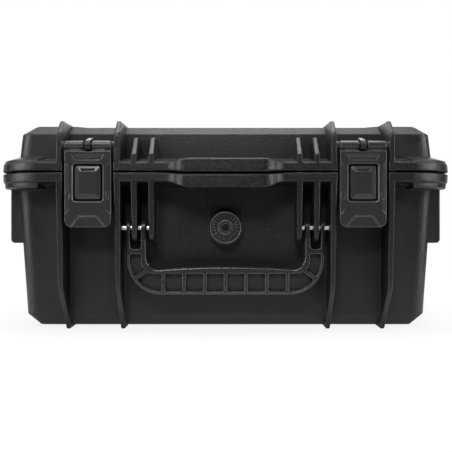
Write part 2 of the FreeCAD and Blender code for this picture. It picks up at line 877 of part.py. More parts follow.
def lid_pads(shoulder):
    """Raised corners of the top panel."""
    slope_run = pad_rise * lid_chamfer_run / lid_chamfer_rise
    foot = chamfered(wall_outline(shoulder), lid_chamfer)
    crown = chamfered(wall_outline(shoulder), lid_chamfer, slope_run)
    cap = drafted([(foot, lid_top), (crown, lid_top + pad_rise)])
    trough = prism_y(
        [
            (-pad_inner_x, lid_top - overshoot),
            (pad_inner_x, lid_top - overshoot),
            (pad_inner_x, lid_top),
            (pad_inner_x + pad_ramp, lid_top + pad_rise + touch),
            (-pad_inner_x - pad_ramp, lid_top + pad_rise + touch),
            (-pad_inner_x, lid_top),
        ],
        -far,
        far,
    )
    gap = block(-far, far, -pad_half_gap, pad_half_gap, lid_top - overshoot, lid_top + 2 * pad_rise)
    return cap.cut([trough, gap])


def latch_lug():
    """Lug on the lid between the two halves of the latch barrel."""
    half = latch_lug_width / 2
    root = wall_front + 2 * wall
    arm = prism_x(
        [
            (latch_axis_y, latch_axis_height - latch_lug_radius),
            (latch_axis_y, latch_axis_height + latch_lug_radius),
            (latch_axis_y + latch_lug_crest, latch_axis_height + latch_lug_crest_rise),
            (root, latch_axis_height + latch_lug_crest_rise),
            (root, latch_axis_height - 2 * latch_lug_radius),
        ],
        bay_middle - half,
        bay_middle + half,
    )
    eye = rod_x(
        bay_middle - half, bay_middle + half, latch_axis_y, latch_axis_height, latch_lug_radius)
    return arm.fuse(eye)


def latch_boss(face_x, inward):
    """Boss on a guard rib round the end of the latch's pin."""
    low, high = sorted((face_x - inward * bury, face_x + inward * (latch_side_gap - slide_clearance)))
    return rod_x(low, high, latch_axis_y, latch_axis_height, latch_boss_radius)


def lid_shell():
    shoulder = lid_top - lid_chamfer_rise
    body = shell_body(lid_rim, shoulder, lid_top, lid_chamfer)
    body = rounded(body, edge_round, lambda p: p.z > shoulder - bury)
    additions = [
        flange(lid_rim, lid_edge_high, lid_root_high),
        corner_bands(lid_rim, lid_edge_high, lid_band_edge, lid_band_slope),
        lip(lid_rim - lip_drop, lid_rim, lid_rim - lip_drop + lip_lid_height, lid_edge_high),
        lid_pads(shoulder),
    ]
    ribs = [lid_gusset(handle_rib_x), lid_gusset(inner_rib_x), latch_lug()]
    ribs += [latch_boss(bay_inner, 1), latch_boss(bay_outer, -1)]
    for x_middle in guard_rib_x:
        ribs.append(lid_guard_rib(x_middle, flange_front, 1, front_overhang))
        ribs.append(lid_guard_rib(x_middle, flange_rear, -1, rear_overhang))
    body = joined(body, additions + both_sides(ribs))
    body = body.cut(hollow_shape(lid_rim, shoulder, lid_top, lid_chamfer, 1))
    half = knuckle_middle_width / 2
    middle = knuckle(bay_middle - half, bay_middle + half, lid_rim, parting_height + knuckle_radius)
    body = body.multiFuse(both_sides([middle]))
    groove_out = tongue_width + groove_clearance
    groove = seal_ring(lid_rim - overshoot, lid_rim + groove_depth, -groove_clearance, groove_out)
    cuts = [
        bay_cutter(parting_height, lid_root_high + overshoot),
        padlock_hole(),
        rod_x(bay_inner, bay_outer, hinge_y, parting_height, hinge_pin_radius + running_clearance),
        rod_x(
            bay_inner - latch_pin_bite, bay_outer + latch_pin_bite, latch_axis_y, latch_axis_height,
            latch_pin_radius + seat_clearance),
    ]
    behind = block(
        -lip_foot_half - overshoot, lip_foot_half + overshoot, flange_front + lip_drop_depth - parting_gap, 0,
        lid_rim - 2 * lip_drop, lid_rim)
    return body.cut(both_sides(cuts) + [groove, behind]).removeSplitter()


def lid_gasket():
    top = lid_rim + groove_depth
    inner = -groove_clearance + gasket_side_clearance
    outer = tongue_width + groove_clearance - gasket_side_clearance
    return seal_ring(top - gasket_thickness, top, inner, outer)


def hinge_pin():
    return rod_x(
        bay_inner + knuckle_rib_clearance, bay_outer - knuckle_rib_clearance, hinge_y, parting_height,
        hinge_pin_radius)


def latch_pin():
    return rod_x(
        bay_inner - latch_pin_bite, bay_outer + latch_pin_bite, latch_axis_y, latch_axis_height,
        latch_pin_radius)


def latch_wedge(corners, y_shallow, depth, z_shallow, z_deep):
    """Cutter with a sloped floor: a (x, z) outline limited by a plane that leans with z."""
    slab = prism_y(corners, latch_face - overshoot, latch_face + depth)
    lean = prism_x(
        [
            (latch_face - 2 * overshoot, z_shallow),
            (latch_face + y_shallow, z_shallow),
            (latch_face + depth, z_deep),
            (latch_face - 2 * overshoot, z_deep),
        ],
        bay_middle - latch_width,
        bay_middle + latch_width,
    )
    return slab.common(lean)


def window_wire(grow, y):
    """Outline of the button's window, grown by a distance, at a depth."""
    half = button_width / 2 + button_gap + grow
    low = button_bottom - button_gap - grow
    high = button_top + button_gap + grow
    radius = button_corner_radius + grow
    corners = [
        (bay_middle - half, low, radius),
        (bay_middle + half, low, radius),
        (bay_middle + half, high, radius),
        (bay_middle - half, high, radius),
    ]
    return Part.Wire(profile_edges(corners, lambda p: Vector(p.x, y, p.y)))


def thumb_outline(inset):
    """Tall prism inside the line round the thumb's place, drawn in by a distance."""
    top = latch_thumb_top - inset
    low = latch_bottom - overshoot
    return prism_y(
        [
            (bay_middle - latch_thumb_half + inset / 2, top),
            (bay_middle + latch_thumb_half - inset / 2, top),
            (bay_middle + latch_thumb_foot_half - inset * 1.5, low),
            (bay_middle - latch_thumb_foot_half + inset * 1.5, low),
        ],
        latch_face - overshoot,
        latch_face + latch_thumb_depth,
    )


def latch_neck(left, right):
    """Cutter for the groove between the barrel and the plate, which leaves two raised pads."""
    low = parting_height + latch_neck_low
    room = prism_x(
        [
            (latch_face - overshoot, low - latch_neck_shoulder),
            (latch_face, low - latch_neck_shoulder),
            (latch_face + latch_neck_shoulder, low),
            (latch_face + latch_neck_depth, low),
            (latch_face + latch_neck_depth, latch_axis_height),
            (latch_face - overshoot, latch_axis_height),
        ],
        left - overshoot,
        right + overshoot,
    )
    keep = [rod_x(left - overshoot, right + overshoot, latch_axis_y, latch_axis_height, latch_barrel_radius)]
    for side in (-1, 1):
        middle = bay_middle + side * latch_pad_offset
        keep.append(prism_y(
            [
                (middle - latch_pad_half, low + latch_pad_height),
                (middle + latch_pad_half, low + latch_pad_height),
                (middle + latch_pad_half - latch_pad_inset, low - bury),
                (middle - latch_pad_half + latch_pad_inset, low - bury),
            ],
            latch_face + latch_pad_depth,
            latch_face + latch_depth,
        ))
    return room.cut(keep)


def latch_body():
    half = latch_width / 2
    left = bay_middle - half
    right = bay_middle + half
    plate = prism_y(
        [
            (left, latch_axis_height),
            (left, latch_bottom, latch_corner_radius),
            (right, latch_bottom, latch_corner_radius),
            (right, latch_axis_height),
        ],
        latch_face,
        latch_face + latch_plate,
    )
    plate = rounded(
        plate, latch_round,
        lambda p: abs(p.y - latch_face) < touch and p.z < latch_axis_height - latch_barrel_radius)
    barrel = rod_x(left, right, latch_axis_y, latch_axis_height, latch_barrel_radius)
    barrel = barrel.makeChamfer(latch_barrel_chamfer, barrel.Edges)
    back = latch_face + latch_depth
    low = latch_bottom + latch_corner_radius
    walls = []
    for x_low in (left, right - latch_side_wall):
        walls.append(prism_x(
            [
                (latch_face + latch_plate / 2, low),
                (back, low + latch_depth / 2, latch_side_radius),
                (back, latch_axis_height - 2 * latch_barrel_radius, latch_side_radius),
                (latch_axis_y, latch_axis_height),
                (latch_face + latch_plate / 2, latch_axis_height),
            ],
            x_low,
            x_low + latch_side_wall,
        ))
    web_low = button_top + button_gap
    web = block(left, right, latch_face + latch_plate / 2, back, web_low, web_low + latch_web_height)
    body = plate.multiFuse([barrel, web] + walls)

    window = Part.Face(window_wire(0.0, latch_face - overshoot))
    window = window.extrude(Vector(0, latch_plate + 2 * overshoot, 0))
    bevel = Part.makeLoft(
        [
            window_wire(2 * latch_window_bevel, latch_face - latch_window_bevel),
            window_wire(0.0, latch_face + latch_window_bevel),
        ],
        True,
        True,
    )
    notch = block(
        bay_middle - latch_notch_width / 2, bay_middle + latch_notch_width / 2,
        latch_face - overshoot, back + overshoot,
        latch_axis_height + latch_barrel_radius - latch_notch_height,
        latch_axis_height + 2 * latch_barrel_radius)
    brow = latch_wedge(
        [
            (bay_middle - latch_brow_half, latch_brow_top),
            (bay_middle + latch_brow_half, latch_brow_top),
            (bay_middle + latch_brow_half - latch_brow_inset, latch_brow_bottom),
            (bay_middle - latch_brow_half + latch_brow_inset, latch_brow_bottom),
        ],
        0.0, latch_brow_depth, latch_brow_top, latch_brow_bottom)
    thumb = thumb_outline(0.0).cut(thumb_outline(latch_thumb_groove))
    neck = latch_neck(left, right)
    facets = []
    for outer, inward in ((left, 1), (right, -1)):
        ridge = outer + inward * latch_facet_width
        lean = prism_z(
            [
                (outer - inward, latch_face - overshoot),
                (ridge, latch_face - overshoot),
                (ridge, latch_face),
                (outer, latch_face + latch_facet_depth),
                (outer - inward, latch_face + latch_facet_depth),
            ],
            latch_facet_bottom,
            latch_facet_top,
        )
        ends = prism_y(
            [
                (outer - inward, latch_facet_bottom),
                (outer, latch_facet_bottom),
                (ridge, latch_facet_bottom + latch_facet_slant),
                (ridge, latch_facet_top - latch_facet_slant),
                (outer, latch_facet_top),
                (outer - inward, latch_facet_top),
            ],
            latch_face - 2 * overshoot,
            latch_face + latch_plate,
        )
        facets.append(lean.common(ends))
        dimple_x = bay_middle - inward * latch_dimple_offset
        half_length = latch_dimple_length / 2
        for z_end in (-half_length, half_length):
            facets.append(rod_y(
                latch_face - overshoot, latch_face + latch_dimple_depth, dimple_x,
                latch_dimple_height + z_end, latch_dimple_radius))
        facets.append(block(
            dimple_x - latch_dimple_radius, dimple_x + latch_dimple_radius,
            latch_face - overshoot, latch_face + latch_dimple_depth,
            latch_dimple_height - half_length, latch_dimple_height + half_length))
    bores = [
        rod_x(left, right, latch_axis_y, latch_axis_height, latch_pin_radius + running_clearance),
        rod_x(left, right, button_axis_y, button_axis_height, button_pin_radius + seat_clearance),
    ]
    return body.cut([neck, window, bevel, notch, brow, thumb] + facets + bores).removeSplitter()


def button_plate():
    """Pressed face of the button: a flat panel with four bevels."""
    half = button_width / 2
    front = latch_face - button_proud
    rim_y = front + button_bevel_depth
    back = front + button_thickness

    def outline(inset_x, inset_z, radius, y):
        corners = [
            (bay_middle - half + inset_x, button_bottom + inset_z, radius),
            (bay_middle + half - inset_x, button_bottom + inset_z, radius),
            (bay_middle + half - inset_x, button_top - inset_z, radius),
            (bay_middle - half + inset_x, button_top - inset_z, radius),
        ]
        return Part.Wire(profile_edges(corners, lambda p: Vector(p.x, y, p.y)))

    rim = outline(0.0, 0.0, button_corner_radius, rim_y)
    panel = outline(button_bevel_side, button_bevel_end, button_corner_radius / 4, front)
    crown = Part.makeLoft([panel, rim], True, True)
    base = Part.Face(rim).extrude(Vector(0, back - rim_y, 0))
    high = button_top - button_brow_drop
    low = high - button_brow_height
    brow = latch_wedge(
        [
            (bay_middle - button_brow_half, high),
            (bay_middle + button_brow_half, high),
            (bay_middle + button_brow_half - button_brow_inset, low),
            (bay_middle - button_brow_half + button_brow_inset, low),
        ],
        0.0, button_brow_depth, high, low)
    return crown.fuse(base).cut(brow), back


def latch_button():
    plate, back = button_plate()
    pieces = []
    for side in (-1, 1):
        x_low = bay_middle + side * (button_lug_gap + button_lug_width) / 2 - button_lug_width / 2
        ear = rod_x(x_low, x_low + button_lug_width, button_axis_y, button_axis_height, button_lug_radius)
        post = block(
            x_low, x_low + button_lug_width, back - bury, button_axis_y,
            button_axis_height - button_lug_radius, button_axis_height + button_lug_radius)
        pieces += [ear, post]
    half = catch_width / 2
    nose = bay_face - slide_clearance
    catch = prism_x(
        [
            (back - bury, catch_top - 2 * catch_height),
            (back - bury, catch_top - catch_height / 2),
            (nose - catch_height / 2, catch_top),
            (nose, catch_top),
            (nose, catch_top - catch_height),
        ],
        bay_middle - half,
        bay_middle + half,
    )
    body = plate.multiFuse(pieces + [catch])
    bore = rod_x(
        bay_middle - latch_width, bay_middle + latch_width, button_axis_y, button_axis_height,
        button_pin_radius + running_clearance)
    return body.cut(bore).removeSplitter()


def button_pin():
    half = latch_width / 2
    return rod_x(
        bay_middle - half, bay_middle + half, button_axis_y, button_axis_height, button_pin_radius)


def button_spring():
    """Bent strip between the latch's web and the back of the button."""
    web_low = button_top + button_gap
    back = latch_face - button_proud + button_thickness
    root = latch_face + latch_depth - latch_plate / 2
    rest = back + seat_clearance
    bend = button_axis_height + button_lug_radius + spring_bend_gap
    tip = bend + spring_tip_rise
    outline = [
        (root, web_low),
        (root, bend),
        (rest, tip),
        (rest, tip + spring_thickness),
        (root - spring_thickness, bend + spring_thickness * 2),
        (root - spring_thickness, web_low),
    ]
    half = spring_width / 2
    return prism_x(outline, bay_middle - half, bay_middle + half)


def handle_outline():
    """Front view of the handle: outside, inside and the slots of its forks."""
    tip = handle_axis_height + handle_thickness / 2
    outer = handle_half_width
    inner = handle_inner_arm_x
    outside = prism_y(
        [
            (-outer, tip),
            (-outer, grip_bottom, handle_outer_radius),
            (outer, grip_bottom, handle_outer_radius),
            (outer, tip),
        ],
        handle_y - handle_thickness / 2,
        handle_y + handle_thickness / 2,
    )
    inside = prism_y(
        [
            (-inner, tip + overshoot),
            (-inner, grip_top_ends, handle_inner_radius),
            (0, grip_top_middle, grip_arch_radius),
            (inner, grip_top_ends, handle_inner_radius),
            (inner, tip + overshoot),
        ],
        handle_y - handle_thickness,
        handle_y + handle_thickness,
    )
    return outside.cut(inside)


def handle_cells():
    """Shallow cells on both faces of the grip and legs, parted by thin ribs."""
    leg_top = handle_axis_height - fork_depth - fork_web
    corner_x = handle_half_width - handle_outer_radius
    corner_z = grip_bottom + handle_outer_radius
    outer_radius = handle_outer_radius - cell_floor
    front = handle_y - handle_thickness / 2
    back = handle_y + handle_thickness / 2
    dividers = []
    for index in range(cell_count + 1):
        middle = (index - cell_count / 2) * cell_pitch
        dividers.append(block(
            middle - cell_rib / 2, middle + cell_rib / 2, -far, far, grip_bottom, grip_top_middle))
    for side in (-1, 1):
        spoke = block(0, handle_outer_radius, -far, far, -cell_rib / 2, cell_rib / 2)
        spoke.rotate(Vector(0, 0, 0), Vector(0, 1, 0), 90 - side * (90 - cell_spoke_angle))
        spoke.translate(Vector(side * corner_x, 0, corner_z))
        dividers.append(spoke)
    cells = []
    faces = ((front - overshoot, front + cell_depth), (back - cell_depth, back + overshoot))
    for y_low, y_high in faces:
        band = prism_y(
            [
                (-fork_outer_x, leg_top),
                (-fork_outer_x, cell_bottom, outer_radius),
                (fork_outer_x, cell_bottom, outer_radius),
                (fork_outer_x, leg_top),
            ],
            y_low,
            y_high,
        )
        core = prism_y(
            [
                (-fork_inner_x, leg_top + overshoot),
                (-fork_inner_x, cell_top, handle_inner_radius),
                (fork_inner_x, cell_top, handle_inner_radius),
                (fork_inner_x, leg_top + overshoot),
            ],
            y_low - overshoot,
            y_high + overshoot,
        )
        depth_middle = (y_low + y_high) / 2
        for cell in band.cut([core] + dividers).Solids:
            cells.append(rounded(cell, cell_corner_radius, lambda p: abs(p.y - depth_middle) < touch))
    return cells


def carry_handle():
    body = handle_outline()
    body = rounded(
        body, handle_round,
        lambda p: abs(abs(p.y - handle_y) - handle_thickness / 2) < touch and p.z < handle_axis_height)
    fork_low = handle_axis_height - fork_depth
    slot = prism_y(
        [
            (fork_inner_x, far),
            (fork_inner_x, fork_low, fork_radius),
            (fork_outer_x, fork_low, fork_radius),
            (fork_outer_x, far),
        ],
        handle_y - handle_thickness,
        handle_y + handle_thickness,
    )
    crown = handle_thickness / 2
    corner = block(
        -far, far, handle_y - crown, handle_y + crown, handle_axis_height, handle_axis_height + crown)
    corner = corner.cut(rod_x(-far, far, handle_y, handle_axis_height, crown))
    bore = rod_x(
        handle_inner_arm_x, handle_half_width, handle_y, handle_axis_height,
        handle_pin_radius + running_clearance)
    return body.cut(both_sides([slot, bore]) + [corner] + handle_cells()).removeSplitter()


def handle_pin():
    return rod_x(handle_pin_start(), handle_pin_end(), handle_y, handle_axis_height, handle_pin_radius)


def valve_seat():
    return wall_front - valve_pad_proud


def valve_body():
    seat = valve_seat()
    plate = rod_y(seat - valve_flange_thickness, seat, 0, valve_height, valve_flange_radius)
    thread = rod_y(seat, seat + valve_thread_length, 0, valve_height, valve_thread_radius)
    bore = rod_y(
        seat - valve_flange_thickness, seat + valve_thread_length, 0, valve_height,
        valve_stem_radius + running_clearance)
    return plate.fuse(thread).cut([bore, oring_room()]).removeSplitter()


def oring_room():
    """Groove in the back of the valve flange."""
    seat = valve_seat()
    floor = seat - 2 * oring_section
    outer = rod_y(floor, seat, 0, valve_height, oring_radius + oring_section)
    inner = rod_y(floor, seat, 0, valve_height, oring_radius - oring_section)
    return outer.cut(inner)


def valve_oring():
    centre = Vector(0, valve_seat() - oring_section, valve_height)
    return Part.makeTorus(oring_radius, oring_section - seat_clearance, centre, Vector(0, 1, 0))


def valve_nut():
    land = valve_land_y()
    radius = valve_nut_across / 2 / math.cos(math.pi / 6)
    corners = []
    for index in range(6):
        angle = math.pi / 6 + index * math.pi / 3
        corners.append((radius * math.cos(angle), valve_height + radius * math.sin(angle)))
    body = prism_y(corners, land, land + valve_nut_thickness)
    bore = rod_y(
        land, land + valve_nut_thickness, 0, valve_height, valve_thread_radius + seat_clearance)
    return body.cut(bore)


def valve_knob():
    seat = valve_seat()
    back = seat - valve_flange_thickness - slide_clearance
    front = back - valve_knob_thickness
    disc = rod_y(front, back, 0, valve_height, valve_knob_radius)
    skirt = rod_y(back - bury, seat - slide_clearance, 0, valve_height, valve_knob_radius)
    skirt = skirt.cut(
        rod_y(back - overshoot, seat, 0, valve_height, valve_knob_radius - valve_skirt))
    rim = rod_y(front - valve_rim_height, front + bury, 0, valve_height, valve_knob_radius)
    rim = rounded(rim, valve_rim_round, lambda p: p.y < front)
    rim = rim.cut(rod_y(
        front - valve_rim_height, front + bury, 0, valve_height, valve_knob_radius - valve_rim_width))
    ring = rod_y(front - valve_ring_height, front + bury, 0, valve_height, valve_ring_radius)
    ring = ring.cut(rod_y(
        front - valve_ring_height, front + bury, 0, valve_height, valve_ring_radius - valve_ring_width))
    hub_radius = valve_hub_across / 2 / math.cos(math.pi / 8)
    corners = []
    for index in range(8):
        angle = math.pi / 8 + index * math.pi / 4
        corners.append((hub_radius * math.cos(angle), valve_height + hub_radius * math.sin(angle)))
    hub = prism_y(corners, front - valve_hub_height, front + bury)
    stem = rod_y(back - bury, seat + valve_thread_length, 0, valve_height, valve_stem_radius)
    return disc.multiFuse([skirt, rim, ring, hub, stem]).removeSplitter()


def foam_room(z_low, z_high):
    """Part of the base's room between two heights, less the fitting clearance."""
    grow = -wall - foam_clearance
    return drafted([(wall_outline(z_low, grow), z_low), (wall_outline(z_high, grow), z_high)])


def foam_floor():
    return base_bottom + wall + foam_clearance


def base_foam_pad():
    inset = wall * math.tan(math.pi / 8) + foam_clearance
    shoulder = base_bottom + base_chamfer_rise
    low = chamfered(wall_outline(shoulder, -wall), base_chamfer, inset - wall)
    grow = -wall - foam_clearance
    middle = shoulder + inset + foam_clearance
    top = foam_floor() + foam_pad_thickness
    return drafted([
        (low, foam_floor()),
        (wall_outline(middle, grow), middle),
        (wall_outline(top, grow), top),
    ])


def base_foam_block():
    low = foam_floor() + foam_pad_thickness + foam_clearance
    high = base_rim - foam_block_top_gap
    body = foam_room(low, high)
    well_corners = rectangle(
        wall_x - wall - foam_side_border,
        wall_front + wall + foam_end_border,
        wall_rear - wall - foam_end_border,
        foam_well_radius)
    well = prism_z(well_corners, low + foam_well_floor, far)
    nut_room = rod_y(
        lip_front, valve_seat() + valve_thread_length + foam_valve_room, 0, valve_height,
        valve_land_radius() + foam_clearance)
    return body.cut([well, nut_room])


def lid_foam():
    shoulder = lid_top - lid_chamfer_rise
    inset = wall * math.tan(math.pi / 8) + foam_clearance
    top = lid_top - wall - foam_clearance
    crown = chamfered(wall_outline(shoulder, -wall), lid_chamfer, inset - wall)
    middle = shoulder - inset - foam_clearance
    low = top - foam_lid_thickness
    grow = -wall - foam_clearance
    return drafted([
        (wall_outline(low, grow), low),
        (wall_outline(middle, grow), middle),
        (crown, top),
    ])


def export(name, shape):
    shape.exportStep("parts/" + name + ".step")
    print(name, "solids", len(shape.Solids), "valid", shape.isValid(), "volume", round(shape.Volume))


os.makedirs("parts", exist_ok=True)
export("base_shell", base_shell())
export("lid_shell", lid_shell())
export("lid_gasket", lid_gasket())
export("carry_handle", carry_handle())
export("valve_knob", valve_knob())
export("valve_body", valve_body())
export("valve_oring", valve_oring())
export("valve_nut", valve_nut())
export("base_foam_pad", base_foam_pad())
export("base_foam_block", base_foam_block())
export("lid_foam", lid_foam())
for name, piece in (
    ("hinge_pin", hinge_pin()),
    ("latch_pin", latch_pin()),
    ("latch_body", latch_body()),
    ("latch_button", latch_button()),
    ("button_pin", button_pin()),
    ("button_spring", button_spring()),
    ("handle_pin", handle_pin()),
):
    export(name + "_right", piece)
    export(name + "_left", on_the_left(piece))
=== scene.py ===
# %% [markdown]
# A moulded equipment case: a deep base, a shallow hinged lid, two snap latches, a fold-down handle and a
# pressure valve. The imported model already holds every rigid piece at its real size, so this script dresses
# those pieces, models the soft foam inside and sets up a small white studio around them.

# %% Load the imported model
import math
import random

import bmesh
import bpy
from mathutils import Matrix, Vector


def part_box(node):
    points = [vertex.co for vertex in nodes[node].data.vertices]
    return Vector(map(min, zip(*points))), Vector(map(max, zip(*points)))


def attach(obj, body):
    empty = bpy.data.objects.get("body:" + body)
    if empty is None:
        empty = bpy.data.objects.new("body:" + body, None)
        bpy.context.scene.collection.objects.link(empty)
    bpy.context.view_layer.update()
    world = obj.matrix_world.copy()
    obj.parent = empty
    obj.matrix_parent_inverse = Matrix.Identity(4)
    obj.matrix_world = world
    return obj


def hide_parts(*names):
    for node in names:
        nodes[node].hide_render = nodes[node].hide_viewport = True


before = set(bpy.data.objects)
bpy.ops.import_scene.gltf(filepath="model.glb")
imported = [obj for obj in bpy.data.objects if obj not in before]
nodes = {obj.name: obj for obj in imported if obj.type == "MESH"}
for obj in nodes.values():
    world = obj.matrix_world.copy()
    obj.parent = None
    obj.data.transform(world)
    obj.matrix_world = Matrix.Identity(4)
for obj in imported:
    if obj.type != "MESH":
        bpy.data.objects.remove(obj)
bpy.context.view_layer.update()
mm = 0.001

# %% [markdown]
# The case is seen straight from the front, a little above the handle. A camera that looks level keeps every
# upright edge upright, as a view camera does, and the shift moves the picture down without tilting it.

# %% Camera
image_size = 452            # pixels, square
focal_pixels = 653.0
sensor_width = 36.0         # millimetres on the camera's back
camera_data = bpy.data.cameras.new("case_camera")
camera_data.sensor_width = sensor_width
camera_data.lens = focal_pixels / image_size * sensor_width
camera_data.shift_x = 0.5 / image_size
camera_data.shift_y = -11.0 / image_size
camera = bpy.data.objects.new("case_camera", camera_data)
camera.location = (0.0, -0.6015, 0.086)
camera.rotation_euler = (math.radians(90), 0.0, 0.0)
bpy.context.scene.collection.objects.link(camera)
bpy.context.scene.camera = camera
bpy.context.scene.view_settings.view_transform = "Standard"
print("lens", round(camera_data.lens, 1), "mm")

# %% [markdown]
# Colours are written as sRGB hex values, as they would be read from a paint card, and Blender wants them
# linear. Materials are node trees, and one small function adds a node, sets its values and links its inputs.

# %% Colour and node helpers
def linear(hex_colour):
    """An sRGB hex colour as linear RGBA."""
    channels = [int(hex_colour[i:i + 2], 16) / 255 for i in (1, 3, 5)]
    return [c / 12.92 if c <= 0.04045 else ((c + 0.055) / 1.055) ** 2.4 for c in channels] + [1.0]


def add(tree, kind, settings=None, links=None):
    """A new node with its settings and with links into its inputs."""
    node = tree.nodes.new(kind)
    for key, value in (settings or {}).items():
        if isinstance(key, str) and hasattr(node, key):
            setattr(node, key, value)
        else:
            node.inputs[key].default_value = value
    for key, socket in (links or {}).items():
        tree.links.new(socket, node.inputs[key])
    return node


def new_material(name):
    """An empty material, its node tree and its surface shader."""
    material = bpy.data.materials.new(name)
    material.use_nodes = True
    tree = material.node_tree
    return material, tree, tree.nodes["Principled BSDF"]


print("helpers ready")

# %% [markdown]
# Injection-moulded thermoplastics are black all through, and their look comes from the steel mould: spark
# erosion leaves a fine pitted grain, polishing leaves a satin skin. Both are one recipe here with other
# numbers. A noise pattern is the grain, in the bump, in the roughness and, where the grain is deep, in the
# paler colour of its peaks. A second, broad noise is the slight cloudiness that flow and handling leave.
# Edges rub first, so a mask from the Bevel node's rounded normal pales them, partly as wear and partly as a
# painted highlight. Nooks are never rubbed and keep a film of dust that dulls them, and an occlusion mask
# also darkens them with painted shade.

# %% Moulded plastics
cloud_width = 38.0          # millimetres, of the cloudiness that flow leaves
cloud_share = 0.6           # how far the clouds alone pale the body
deep_grain = 0.3            # millimetres, a grain whose rubbed peaks show full
dust_roughness = 0.40       # added in the deepest nooks
plastic_ior = 1.49


def moulded_plastic(name, body, cloud, edge_wear_and_highlight, grain, depth, gloss, sheen, edge, nook):
    """Black moulded plastic in the colours of its body, its clouds and its worn edges with a painted highlight.

    Grain width, grain depth, edge radius and nook size are in millimetres, and gloss is a roughness range.
    """
    material, tree, surface = new_material(name)
    surface.inputs["IOR"].default_value = plastic_ior
    surface.inputs["Specular IOR Level"].default_value = sheen
    place = add(tree, "ShaderNodeTexCoord").outputs["Object"]
    pits = add(tree, "ShaderNodeTexNoise", {"Scale": 1 / (grain * mm), "Detail": 3.0}, {"Vector": place})
    broad = add(
        tree, "ShaderNodeTexNoise", {"Scale": 1 / (cloud_width * mm), "Detail": 4.0}, {"Vector": place})
    rounded = add(tree, "ShaderNodeBevel", {"samples": 6, "Radius": edge * mm})
    flat = add(tree, "ShaderNodeNewGeometry").outputs["Normal"]
    agree = add(tree, "ShaderNodeVectorMath", {"operation": "DOT_PRODUCT"}, {0: rounded.outputs[0], 1: flat})
    # Pale edges: partly rubbed wear, partly a painted highlight where the rounded edges would catch the light.
    edge_wear_and_highlight_mask = add(
        tree, "ShaderNodeMapRange", {"From Min": 0.99, "From Max": 0.80, "To Max": 0.8},
        {"Value": agree.outputs["Value"]})
    patchy = add(
        tree, "ShaderNodeMath", {"operation": "MULTIPLY"}, {0: edge_wear_and_highlight_mask.outputs[0], 1: broad.outputs[0]})
    peaks = add(
        tree, "ShaderNodeMapRange",
        {"From Min": 0.5, "From Max": 0.66, "To Max": min(1.0, depth / deep_grain)},
        {"Value": pits.outputs[0]})
    pale = add(
        tree, "ShaderNodeMath", {"operation": "MULTIPLY_ADD", 1: cloud_share},
        {0: broad.outputs[0], 2: peaks.outputs[0]})
    cloudy = add(
        tree, "ShaderNodeMixRGB", {"Color1": linear(body), "Color2": linear(cloud)},
        {"Fac": pale.outputs[0]})
    edge_wear_and_highlight_colour = add(
        tree, "ShaderNodeMixRGB", {"Color2": linear(edge_wear_and_highlight)},
        {"Fac": patchy.outputs[0], "Color1": cloudy.outputs[0]})
    skin = add(
        tree, "ShaderNodeMapRange",
        {"From Min": 0.3, "From Max": 0.7, "To Min": gloss[0], "To Max": gloss[1]},
        {"Value": pits.outputs[0]})
    relief = add(
        tree, "ShaderNodeBump", {"Strength": 1.0, "Distance": depth * mm},
        {"Height": pits.outputs[0], "Normal": rounded.outputs[0]})
    shade_and_dust_mask = add(tree, "ShaderNodeAmbientOcclusion", {"samples": 8, "Distance": nook * mm})
    dust = add(
        tree, "ShaderNodeMapRange",
        {"From Min": 0.35, "From Max": 0.95, "To Min": dust_roughness, "To Max": 0.0},
        {"Value": shade_and_dust_mask.outputs["AO"]})
    dusty = add(tree, "ShaderNodeMath", {"operation": "ADD"}, {0: skin.outputs[0], 1: dust.outputs[0]})
    # Painted shade: the occlusion mask darkens the colour in nooks towards near-black.
    painted_nook_shade = add(
        tree, "ShaderNodeMixRGB", {"Color1": linear("#050506")},
        {"Fac": shade_and_dust_mask.outputs["AO"], "Color2": edge_wear_and_highlight_colour.outputs[0]})
    tree.links.new(painted_nook_shade.outputs[0], surface.inputs["Base Color"])
    tree.links.new(dusty.outputs[0], surface.inputs["Roughness"])
    tree.links.new(relief.outputs[0], surface.inputs["Normal"])
    return material


# The shells' dry grain breaks up every highlight. Spark grain is about 0.15 mm wide on the real case; it is
# drawn 0.8 mm wide so that the picture can show it.
# The pale edge colour of each plastic is partly wear and partly a painted highlight.
grained_polypropylene = moulded_plastic(
    "polypropylene_moulded_spark_grain", body="#060708", cloud="#1b1c1e", edge_wear_and_highlight="#747578",
    grain=0.8, depth=0.30, gloss=(0.25, 0.40), sheen=0.42, edge=0.8, nook=22.0)
# The handle's mould is polished: a satin skin whose pale edges are partly wear and partly a painted highlight.
satin_nylon = moulded_plastic(
    "glass_filled_nylon_moulded_satin", body="#18191b", cloud="#232426", edge_wear_and_highlight="#9c9da0",
    grain=0.7, depth=0.03, gloss=(0.24, 0.34), sheen=0.55, edge=0.8, nook=6.0)
# The latches' mould is blasted: a little paler and duller than the handle.
latch_nylon = moulded_plastic(
    "glass_filled_nylon_moulded_vapour_blasted", body="#222325", cloud="#2d2e30", edge_wear_and_highlight="#9c9da0",
    grain=0.6, depth=0.03, gloss=(0.25, 0.35), sheen=0.55, edge=0.8, nook=6.0)
# No hand rubs the inner pieces of the valve, so they stay dark.
dark_nylon = moulded_plastic(
    "glass_filled_nylon_moulded_fine", body="#0f1012", cloud="#18191b", edge_wear_and_highlight="#606164",
    grain=0.6, depth=0.03, gloss=(0.30, 0.42), sheen=0.5, edge=0.4, nook=3.0)
print("plastics", grained_polypropylene.name, satin_nylon.name, latch_nylon.name, dark_nylon.name)

# %% [markdown]
# The hinge pins and the handle's pins are stainless rod, drawn through a die and sheared to length. Drawing
# leaves fine lines along the rod, so the noise is stretched along X, the direction in which every pin lies.

# %% Drawn stainless steel
drawn_steel, tree, surface = new_material("stainless_steel_drawn")
surface.inputs["Metallic"].default_value = 1.0
place = add(tree, "ShaderNodeTexCoord").outputs["Object"]
along = add(tree, "ShaderNodeMapping", {"Scale": (0.04, 1.0, 1.0)}, {"Vector": place})
